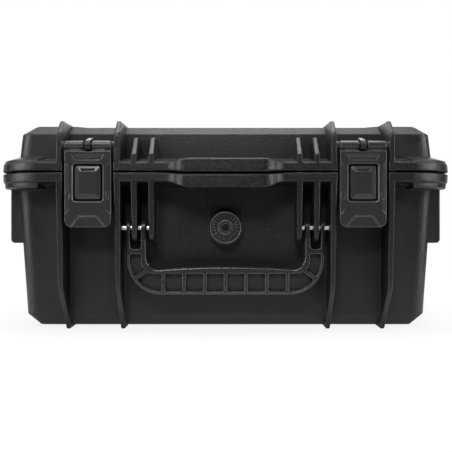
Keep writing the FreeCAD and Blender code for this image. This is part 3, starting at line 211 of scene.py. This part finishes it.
# Real drawing lines are some 0.02 mm apart; 0.3 mm shows.
lines = add(
    tree, "ShaderNodeTexNoise", {"Scale": 1 / (0.3 * mm), "Detail": 2.0}, {"Vector": along.outputs[0]})
polish = add(tree, "ShaderNodeMapRange", {"To Min": 0.22, "To Max": 0.42}, {"Value": lines.outputs[0]})
tone = add(
    tree, "ShaderNodeMixRGB", {"Color1": linear("#c4c6c8"), "Color2": linear("#e2e3e4")},
    {"Fac": lines.outputs[0]})
tree.links.new(polish.outputs[0], surface.inputs["Roughness"])
tree.links.new(tone.outputs[0], surface.inputs["Base Color"])
print("metal", drawn_steel.name)

# %% [markdown]
# The latch pins, button pins and springs sit in the latches and are blackened against rust: plain steel,
# dipped in a hot salt bath that leaves a thin dark oxide.

# %% Blackened steel
blackened_steel, tree, surface = new_material("spring_steel_black_oxide")
surface.inputs["Metallic"].default_value = 1.0
place = add(tree, "ShaderNodeTexCoord").outputs["Object"]
bath = add(tree, "ShaderNodeTexNoise", {"Scale": 1 / (2.5 * mm), "Detail": 4.0}, {"Vector": place})
tone = add(
    tree, "ShaderNodeMixRGB", {"Color1": linear("#1c1c1d"), "Color2": linear("#323234")},
    {"Fac": bath.outputs[0]})
polish = add(tree, "ShaderNodeMapRange", {"To Min": 0.40, "To Max": 0.60}, {"Value": bath.outputs[0]})
tree.links.new(tone.outputs[0], surface.inputs["Base Color"])
tree.links.new(polish.outputs[0], surface.inputs["Roughness"])
print("metal", blackened_steel.name)

# %% [markdown]
# The valve's knob is turned by fingertips, so it is the most polished moulding on the case: the same nylon
# from a smoother mould, with its edges pale, partly rubbed and partly a painted highlight.

# %% Valve knob
valve_face = moulded_plastic(
    "glass_filled_nylon_moulded_polished", body="#131416", cloud="#1c1d1f", edge_wear_and_highlight="#d8d9dc",
    grain=0.6, depth=0.02, gloss=(0.20, 0.30), sheen=0.6, edge=0.7, nook=2.5)
print("valve face", valve_face.name)

# %% [markdown]
# The lid's gasket and the valve's ring are solid rubber, extruded or pressed, dull black with a faint bloom
# that comes to the surface as rubber ages. A broad noise between two blacks is that bloom.

# %% Seal rubber
seal_rubber, tree, surface = new_material("epdm_rubber_extruded")
surface.inputs["IOR"].default_value = 1.47
place = add(tree, "ShaderNodeTexCoord").outputs["Object"]
bloom = add(tree, "ShaderNodeTexNoise", {"Scale": 1 / (6 * mm), "Detail": 4.0}, {"Vector": place})
tone = add(
    tree, "ShaderNodeMixRGB", {"Color1": linear("#161617"), "Color2": linear("#29292a")},
    {"Fac": bloom.outputs[0]})
dull = add(tree, "ShaderNodeMapRange", {"To Min": 0.6, "To Max": 0.85}, {"Value": bloom.outputs[0]})
tree.links.new(tone.outputs[0], surface.inputs["Base Color"])
tree.links.new(dull.outputs[0], surface.inputs["Roughness"])
print("rubber", seal_rubber.name)

# %% [markdown]
# Case foam is open-cell polyurethane, cast in blocks and sawn: the saw opens thousands of cells, so the
# surface is a carpet of tiny cups that swallow light. Voronoi cells are close to real foam cells. They
# darken the colour in their middles with painted shade and dent the bump.

# %% Open-cell foam
case_foam, tree, surface = new_material("polyurethane_foam_sawn_open_cell")
surface.inputs["Roughness"].default_value = 0.95
surface.inputs["Specular IOR Level"].default_value = 0.25
place = add(tree, "ShaderNodeTexCoord").outputs["Object"]
# Foam cells are about 0.8 mm across; they are drawn at 1.4 mm so that they show.
cells = add(tree, "ShaderNodeTexVoronoi", {"Scale": 1 / (1.4 * mm)}, {"Vector": place})
tone = add(
    tree, "ShaderNodeMixRGB", {"Color1": linear("#1d1e20"), "Color2": linear("#4a4b4e")},
    {"Fac": cells.outputs["Distance"]})
cups = add(
    tree, "ShaderNodeBump", {"Strength": 0.8, "Distance": 0.5 * mm}, {"Height": cells.outputs["Distance"]})
tree.links.new(tone.outputs[0], surface.inputs["Base Color"])
tree.links.new(cups.outputs[0], surface.inputs["Normal"])
print("foam", case_foam.name)

# %% [markdown]
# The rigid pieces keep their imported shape, and each gets its finish in its own material slots. The left and
# right pieces of a pair have the same finish, so the table holds each kind once.

# %% Finishes on the rigid pieces
finishes = {
    "base_shell": grained_polypropylene,
    "lid_shell": grained_polypropylene,
    "carry_handle": satin_nylon,
    "latch_body": latch_nylon,
    "latch_button": latch_nylon,
    "valve_knob": valve_face,
    "valve_body": dark_nylon,
    "valve_nut": dark_nylon,
    "valve_oring": seal_rubber,
    "lid_gasket": seal_rubber,
    "hinge_pin": drawn_steel,
    "latch_pin": blackened_steel,
    "button_pin": blackened_steel,
    "button_spring": blackened_steel,
    "handle_pin": drawn_steel,
}
dressed = 0
for name, node in nodes.items():
    kind = name.replace("_right", "").replace("_left", "")
    if kind in finishes:
        for slot in node.material_slots:
            slot.material = finishes[kind]
        dressed += 1
print("dressed", dressed, "nodes")

# %% [markdown]
# Between its rim and its inner ring, the valve's knob has a ring of raised ticks that give the fingers a
# hold. They stand too high for a bump, so each is a small bar, drafted as a mould needs, with its edges
# bevelled, and its foot is sunk into the face of the knob.

# %% Ticks on the valve's knob
low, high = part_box("valve_knob")
inner_ring_height = 1.9 * mm   # the ring is the foremost part of the knob
face_y = low.y + inner_ring_height
tick_count = 24
tick_radii = (7.2 * mm, 10.0 * mm)
tick_half = 0.55 * mm
tick_draft = 0.12 * mm
tick_height = 0.55 * mm
tick_foot = 0.2 * mm
tick_bevel = 0.13 * mm


def tick_corners(draft, y):
    """Four corners of a tick that points along X, round the knob's middle."""
    start, end = tick_radii[0] + draft, tick_radii[1] - draft
    half = tick_half - draft
    return [(start, y, -half), (end, y, -half), (end, y, half), (start, y, half)]


ticks_mesh = bpy.data.meshes.new("valve_ticks")
work = bmesh.new()
knob_middle = Matrix.Translation((0.0, 0.0, (low.z + high.z) / 2))
for i in range(tick_count):
    turned = knob_middle @ Matrix.Rotation(2 * math.pi * i / tick_count, 4, "Y")
    foot_corners = tick_corners(0.0, face_y + tick_foot)
    top_corners = tick_corners(tick_draft, face_y - tick_height)
    foot = [work.verts.new(turned @ Vector(corner)) for corner in foot_corners]
    top = [work.verts.new(turned @ Vector(corner)) for corner in top_corners]
    work.faces.new(foot)
    work.faces.new(top)
    for j in range(4):
        work.faces.new((foot[j], foot[j - 1], top[j - 1], top[j]))
bmesh.ops.recalc_face_normals(work, faces=work.faces)
bmesh.ops.bevel(work, geom=work.edges, offset=tick_bevel, segments=2, affect="EDGES", profile=0.5)
work.to_mesh(ticks_mesh)
work.free()
ticks_mesh.polygons.foreach_set("use_smooth", [True] * len(ticks_mesh.polygons))
ticks_mesh.materials.append(valve_face)
valve_ticks = bpy.data.objects.new("valve_ticks", ticks_mesh)
bpy.context.scene.collection.objects.link(valve_ticks)
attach(valve_ticks, "valve")
print("ticks", tick_count, "points", len(ticks_mesh.vertices))

# %% [markdown]
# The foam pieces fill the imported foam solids. A slab is made as one closed skin: a grid of points for its
# worked face, drawn in to round corners, then rings along its sides and a cap. The worked face takes its
# heights from a table, so scored cubes and an egg-crate are the same code with other tables.

# %% Foam slab builder
foam_corner = 7.5 * mm
smooth_below = math.radians(50)


def round_corner(x, y, half, radius):
    """Draw a point of a rectangle's corner region onto the rounded corner."""
    over_x = abs(x) - (half.x - radius)
    over_y = abs(y) - (half.y - radius)
    if over_x <= 0 or over_y <= 0:
        return x, y
    scale = max(over_x, over_y) / math.hypot(over_x, over_y)
    return (
        math.copysign(half.x - radius + over_x * scale, x),
        math.copysign(half.y - radius + over_y * scale, y),
    )


def foam_slab(name, node, places_x, places_y, heights, rings):
    """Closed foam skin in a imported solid's box; rings are (height, inset at the sides, inset at the ends)."""
    low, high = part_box(node)
    centre = (low + high) / 2
    half = (high - low) / 2
    mesh = bpy.data.meshes.new(name)
    work = bmesh.new()
    grid = []
    for y, levels in zip(places_y, heights):
        row = []
        for x, level in zip(places_x, levels):
            flat_x, flat_y = round_corner(x - centre.x, y - centre.y, half, foam_corner)
            row.append(work.verts.new((centre.x + flat_x, centre.y + flat_y, level)))
        grid.append(row)
    for lower, upper in zip(grid, grid[1:]):
        for i in range(len(lower) - 1):
            work.faces.new((lower[i], lower[i + 1], upper[i + 1], upper[i]))
    rim = grid[0] + [row[-1] for row in grid[1:-1]] + grid[-1][::-1] + [row[0] for row in grid[-2:0:-1]]
    outline = [(point.co.x - centre.x, point.co.y - centre.y) for point in rim]
    for height, inset_x, inset_y in rings:
        ring = []
        for x, y in outline:
            place = (centre.x + x * (1 - inset_x / half.x), centre.y + y * (1 - inset_y / half.y), height)
            ring.append(work.verts.new(place))
        for i in range(len(rim)):
            j = (i + 1) % len(rim)
            work.faces.new((rim[j], rim[i], ring[i], ring[j]))
        rim = ring
    work.faces.new(rim[::-1])
    bmesh.ops.recalc_face_normals(work, faces=work.faces)
    work.to_mesh(mesh)
    work.free()
    mesh.polygons.foreach_set("use_smooth", [True] * len(mesh.polygons))
    mesh.set_sharp_from_angle(angle=smooth_below)
    mesh.materials.append(case_foam)
    slab = bpy.data.objects.new(name, mesh)
    bpy.context.scene.collection.objects.link(slab)
    print(name, "points", len(mesh.vertices))
    return slab


def fit_foam(slab, node, body):
    """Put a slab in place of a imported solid."""
    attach(slab, body)
    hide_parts(node)


print("slab builder ready")

# %% [markdown]
# The base holds a block of pluck foam: it is scored into cubes that are pulled out by hand to fit the
# contents, and the well is where cubes have been pulled. Each score is a narrow groove, every cube's top is
# a little pillowed, and no two stand at quite the same height. A row of lines has one line in each score
# and five in each cube.

# %% Pluck foam in the base
score_half = 0.8 * mm
score_depth = 6.0 * mm
edge_drop = 2.5 * mm
well_x = (-99.8 * mm, 99.8 * mm)
well_y = (-59.3 * mm, 65.8 * mm)
well_bed = 40.0 * mm        # foam left under the well
top_room = 0.4 * mm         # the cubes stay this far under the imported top
cube_spread = 0.35          # millimetres, up or down
# Shares of a cube's width and how far its pillowed top drops there, in millimetres.
pillow = ((0.0, 0.9), (0.12, 0.25), (0.5, 0.0), (0.88, 0.25), (1.0, 0.9))


def scored_lines(start, end, cubes, first):
    """Lines over a row of cubes as (place, cube, drop); a score's cube number ends in a half."""
    pitch = (end - start) / cubes
    lines = []
    for i in range(cubes):
        left = start + i * pitch
        lines.append((left, first + i - 0.5, score_depth))
        for share, drop in pillow:
            inside = left + score_half + share * (pitch - 2 * score_half)
            lines.append((inside, first + i, drop * mm))
    return lines


def scored_face(low, high, well, border, inner):
    """All the lines in one direction: border cubes, cubes of the well, border cubes."""
    lines = scored_lines(low, well[0], border, 0)
    lines[0] = (low, -0.5, edge_drop)
    lines += scored_lines(well[0], well[1], inner, border)
    lines += scored_lines(well[1], high, border, border + inner)
    lines.append((high, 2 * border + inner - 0.5, edge_drop))
    return lines


chance = random.Random(4)
border_cubes, well_cubes_x, well_cubes_y = 4, 15, 9
cubes_x = 2 * border_cubes + well_cubes_x
cubes_y = 2 * border_cubes + well_cubes_y
low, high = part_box("base_foam_block")
well_floor = low.z + well_bed
lines_x = scored_face(low.x, high.x, well_x, border_cubes, well_cubes_x)
lines_y = scored_face(low.y, high.y, well_y, border_cubes, well_cubes_y)
levels = {}
for i in range(cubes_x):
    for j in range(cubes_y):
        in_x = border_cubes <= i < border_cubes + well_cubes_x
        in_y = border_cubes <= j < border_cubes + well_cubes_y
        spread = chance.uniform(-cube_spread, cube_spread) * mm
        levels[i, j] = (well_floor if in_x and in_y else high.z - top_room) + spread


def scored_height(line_x, line_y):
    """Height where two lines cross: the lowest cube beside them, less the deeper drop."""
    beside_x = {min(max(math.floor(line_x[1]), 0), cubes_x - 1), min(math.ceil(line_x[1]), cubes_x - 1)}
    beside_y = {min(max(math.floor(line_y[1]), 0), cubes_y - 1), min(math.ceil(line_y[1]), cubes_y - 1)}
    level = min(levels[i, j] for i in beside_x for j in beside_y)
    return level - max(line_x[2], line_y[2])


heights = [[scored_height(line_x, line_y) for line_x in lines_x] for line_y in lines_y]
# The sides follow the draft of the base down to a bevelled lower edge.
block_rings = [
    (high.z - 6 * mm, 0.4 * mm, 0.25 * mm),
    (low.z + 2 * mm, 5.8 * mm, 3.4 * mm),
    (low.z, 7.6 * mm, 5.2 * mm),
]
pluck_foam = foam_slab(
    "pluck_foam", "base_foam_block", [line[0] for line in lines_x], [line[0] for line in lines_y], heights,
    block_rings)

# %% [markdown]
# The valve's nut stands inside the front wall, and a round pocket is cut into the foam for it, as is done
# with a hole saw. A Boolean modifier does that cut, and its result is kept as the foam's own mesh.

# %% Pocket for the valve's nut
pocket_radius = 12.4 * mm
pocket_depth = 26.0 * mm
pocket_middle = (0.0, -111.0 * mm, 76.7 * mm)
pocket_mesh = bpy.data.meshes.new("hole_saw")
work = bmesh.new()
bmesh.ops.create_cone(
    work, cap_ends=True, segments=48, radius1=pocket_radius, radius2=pocket_radius, depth=pocket_depth)
bmesh.ops.rotate(work, verts=work.verts, matrix=Matrix.Rotation(math.radians(90), 3, "X"))
bmesh.ops.translate(work, verts=work.verts, vec=pocket_middle)
work.to_mesh(pocket_mesh)
work.free()
hole_saw = bpy.data.objects.new("hole_saw", pocket_mesh)
bpy.context.scene.collection.objects.link(hole_saw)
cut = pluck_foam.modifiers.new("nut_pocket", "BOOLEAN")
cut.object = hole_saw
cut.solver = "EXACT"
result = pluck_foam.evaluated_get(bpy.context.evaluated_depsgraph_get())
pocketed = bpy.data.meshes.new_from_object(result)
pluck_foam.modifiers.clear()
pluck_foam.data = pocketed
bpy.data.objects.remove(hole_saw)
fit_foam(pluck_foam, "base_foam_block", "base")
print("pocketed foam", len(pocketed.vertices), "points")

# %% [markdown]
# Under the block lies a plain pad, a slab with softly crowned edges whose lower edge follows the sloped
# corner of the base.

# %% Pad under the block
low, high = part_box("base_foam_pad")


def crowned(start, end):
    """Lines over a plain face as (place, drop), close together at the edges."""
    near = [(0.0, 1.6), (1.2, 0.7), (4.0, 0.2), (10.0, 0.0), (60.0, 0.0)]
    ahead = [(start + step * mm, drop * mm) for step, drop in near]
    return ahead + [(end - step * mm, drop * mm) for step, drop in near[::-1]]


lines_x = crowned(low.x, high.x)
lines_y = crowned(low.y, high.y)
heights = [[high.z - max(across, along) for _, across in lines_x] for _, along in lines_y]
slope_start = 12.2 * mm     # height at which the pad's sides start to slope in
pad_rings = [
    (slope_start, 0.3 * mm, 0.2 * mm),
    (low.z + 1 * mm, 7.0 * mm, 7.0 * mm),
    (low.z, 9.0 * mm, 9.0 * mm),
]
base_pad = foam_slab(
    "base_pad", "base_foam_pad", [line[0] for line in lines_x], [line[0] for line in lines_y], heights,
    pad_rings)
fit_foam(base_pad, "base_foam_pad", "base")

# %% [markdown]
# The lid is lined with convoluted foam. A slab is squeezed between two knobbed rollers while a saw splits it,
# and it springs back as rows of round peaks and hollows. Two cosines across each other have that form.

# %% Convoluted foam in the lid
low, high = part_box("lid_foam")
peak_pitch = 30.0 * mm
peak_rise = 15.0 * mm
grid_step = 3.6 * mm


def even_lines(start, end):
    """Evenly spaced places from start to end."""
    count = round((end - start) / grid_step)
    return [start + (end - start) * i / count for i in range(count + 1)]


def convoluted(x, y):
    """Height of the convoluted face at a place."""
    wave = math.cos(2 * math.pi * x / peak_pitch) + math.cos(2 * math.pi * y / peak_pitch)
    return low.z + peak_rise * (2 - wave) / 4


places_x = even_lines(low.x, high.x)
places_y = even_lines(low.y, high.y)
heights = [[convoluted(x, y) for x in places_x] for y in places_y]
lining_rings = [
    (high.z - 5 * mm, 2.5 * mm, 0.9 * mm),
    (high.z - 0.6 * mm, 9.0 * mm, 9.0 * mm),
    (high.z, 10.6 * mm, 10.6 * mm),
]
lid_lining = foam_slab("lid_lining", "lid_foam", places_x, places_y, heights, lining_rings)
fit_foam(lid_lining, "lid_foam", "lid")

# %% [markdown]
# The case stands on matt white paper. The paper is white to the camera and in reflections, through Light
# Path, while the light that it throws back at the case stays that of real paper. Near the case it keeps a
# share of its own shading, so the case still has a soft shadow.

# %% Floor
def stage_panel(name, corners, material):
    """Flat four-cornered panel of the studio."""
    mesh = bpy.data.meshes.new(name)
    mesh.from_pydata(corners, [], [(0, 1, 2, 3)])
    mesh.materials.append(material)
    panel = bpy.data.objects.new(name, mesh)
    bpy.context.scene.collection.objects.link(panel)
    return panel


def level_corners(x_start, y_start, x_end, y_end, z):
    """Corners of a level panel."""
    return [(x_start, y_start, z), (x_end, y_start, z), (x_end, y_end, z), (x_start, y_end, z)]


def seen_directly(tree):
    """One for camera rays, mirror rays and rays through glass, else nought."""
    path = add(tree, "ShaderNodeLightPath")
    seen = add(
        tree, "ShaderNodeMath", {"operation": "MAXIMUM"},
        {0: path.outputs["Is Camera Ray"], 1: path.outputs["Is Glossy Ray"]})
    return add(
        tree, "ShaderNodeMath", {"operation": "MAXIMUM"},
        {0: seen.outputs[0], 1: path.outputs["Is Transmission Ray"]})


paper, tree, surface = new_material("white_paper_matt")
surface.inputs["Base Color"].default_value = linear("#e6e6e6")
surface.inputs["Roughness"].default_value = 0.9
seen = seen_directly(tree)
position = add(tree, "ShaderNodeNewGeometry").outputs["Position"]
distance = add(tree, "ShaderNodeVectorMath", {"operation": "LENGTH"}, {0: position})
# From 0.2 m to 0.5 m out, the paper's own shading fades into plain white.
share = add(
    tree, "ShaderNodeMapRange", {"From Min": 0.2, "From Max": 0.5, "To Min": 0.85, "To Max": 1.0},
    {"Value": distance.outputs["Value"]})
share = add(tree, "ShaderNodeMath", {"operation": "MULTIPLY"}, {0: share.outputs[0], 1: seen.outputs[0]})
glow = add(tree, "ShaderNodeEmission", {"Color": linear("#ffffff")})
blend = add(
    tree, "ShaderNodeMixShader", None,
    {0: share.outputs[0], 1: surface.outputs[0], 2: glow.outputs[0]})
tree.links.new(blend.outputs[0], tree.nodes["Material Output"].inputs["Surface"])
floor_reach = 3.0
floor_height = -0.05 * mm
floor_corners = level_corners(-floor_reach, -floor_reach, floor_reach, floor_reach, floor_height)
floor = stage_panel("studio_floor", floor_corners, paper)
print("floor", floor.name)

# %% [markdown]
# The backdrop is the world itself, white to the camera and in reflections in the same way as the paper. For
# all other rays it is a faint ambient light that opens the deepest shadows a little.

# %% World
world = bpy.data.worlds.new("white_studio")
bpy.context.scene.world = world
world.use_nodes = True
tree = world.node_tree
ambient = tree.nodes["Background"]
ambient.inputs["Color"].default_value = linear("#ffffff")
ambient.inputs["Strength"].default_value = 0.06
white = add(tree, "ShaderNodeBackground", {"Color": linear("#ffffff"), "Strength": 1.0})
seen = seen_directly(tree)
blend = add(
    tree, "ShaderNodeMixShader", None,
    {0: seen.outputs[0], 1: ambient.outputs[0], 2: white.outputs[0]})
tree.links.new(blend.outputs[0], tree.nodes["World Output"].inputs["Surface"])
print("world", world.name)

# %% [markdown]
# Five soft boxes light the case, as area lamps. The front one, high and a little to the left, lights the
# walls. The overhead one draws the sloped edge of the lid, an upright strip at each side draws the curves of
# the front lip and the edges of the ribs, and the rear one lights the side that is seen from behind.

# %% Soft boxes
def soft_box(name, place, aim, width, height, power):
    """Rectangular lamp that faces a point."""
    data = bpy.data.lights.new(name, "AREA")
    data.shape = "RECTANGLE"
    data.size = width
    data.size_y = height
    data.energy = power
    lamp = bpy.data.objects.new(name, data)
    lamp.location = place
    lamp.rotation_euler = (Vector(aim) - Vector(place)).to_track_quat("-Z", "Y").to_euler()
    bpy.context.scene.collection.objects.link(lamp)


# Places and sizes are in metres and powers in watts.
middle = (0.0, -0.1, 0.08)
soft_box("front_box", (-0.15, -1.15, 0.80), middle, 0.4, 0.25, 8.0)
soft_box("overhead_box", (0.0, -0.05, 1.1), middle, 0.7, 0.55, 12.0)
soft_box("left_strip", (-1.0, -0.40, 0.40), middle, 0.10, 0.9, 9.0)
soft_box("right_strip", (1.0, -0.40, 0.40), middle, 0.10, 0.9, 9.0)
soft_box("rear_box", (0.0, 1.2, 0.7), middle, 0.9, 0.5, 8.0)
print("lamps", len(bpy.data.lights))

# %% [markdown]
# Black plastic shows what it reflects more than its own colour. A photographer lights it in a dark room: the
# paper and the far side are white, and everything else but the soft boxes is black. Black walls, a ceiling
# and cards that lie round the paper stand for that room. The camera doesn't see them, and they throw no
# shadow.

# %% Dark room
wall_black, tree, surface = new_material("black_paint_matt")
surface.inputs["Base Color"].default_value = linear("#0c0c0c")
surface.inputs["Roughness"].default_value = 0.9
side, front, back, ceiling = 1.25, -1.9, 1.0, 1.7
card_front, card_side, card_lift = -0.40, 0.42, 0.5 * mm


def upright_corners(x_start, y_start, x_end, y_end):
    """Corners of a wall from the floor to the ceiling."""
    return [
        (x_start, y_start, 0.0), (x_end, y_end, 0.0), (x_end, y_end, ceiling), (x_start, y_start, ceiling)]


walls = {
    "left_wall": upright_corners(-side, front, -side, back),
    "right_wall": upright_corners(side, front, side, back),
    "front_wall": upright_corners(-side, front, side, front),
    "ceiling": level_corners(-side, front, side, back, ceiling),
    "front_card": level_corners(-side, front, side, card_front, card_lift),
    "left_card": level_corners(-card_side, card_front, -side, back, card_lift),
    "right_card": level_corners(card_side, card_front, side, back, card_lift),
}
for name, corners in walls.items():
    wall = stage_panel(name, corners, wall_black)
    wall.visible_camera = False
    wall.visible_shadow = False
print("walls", len(walls))
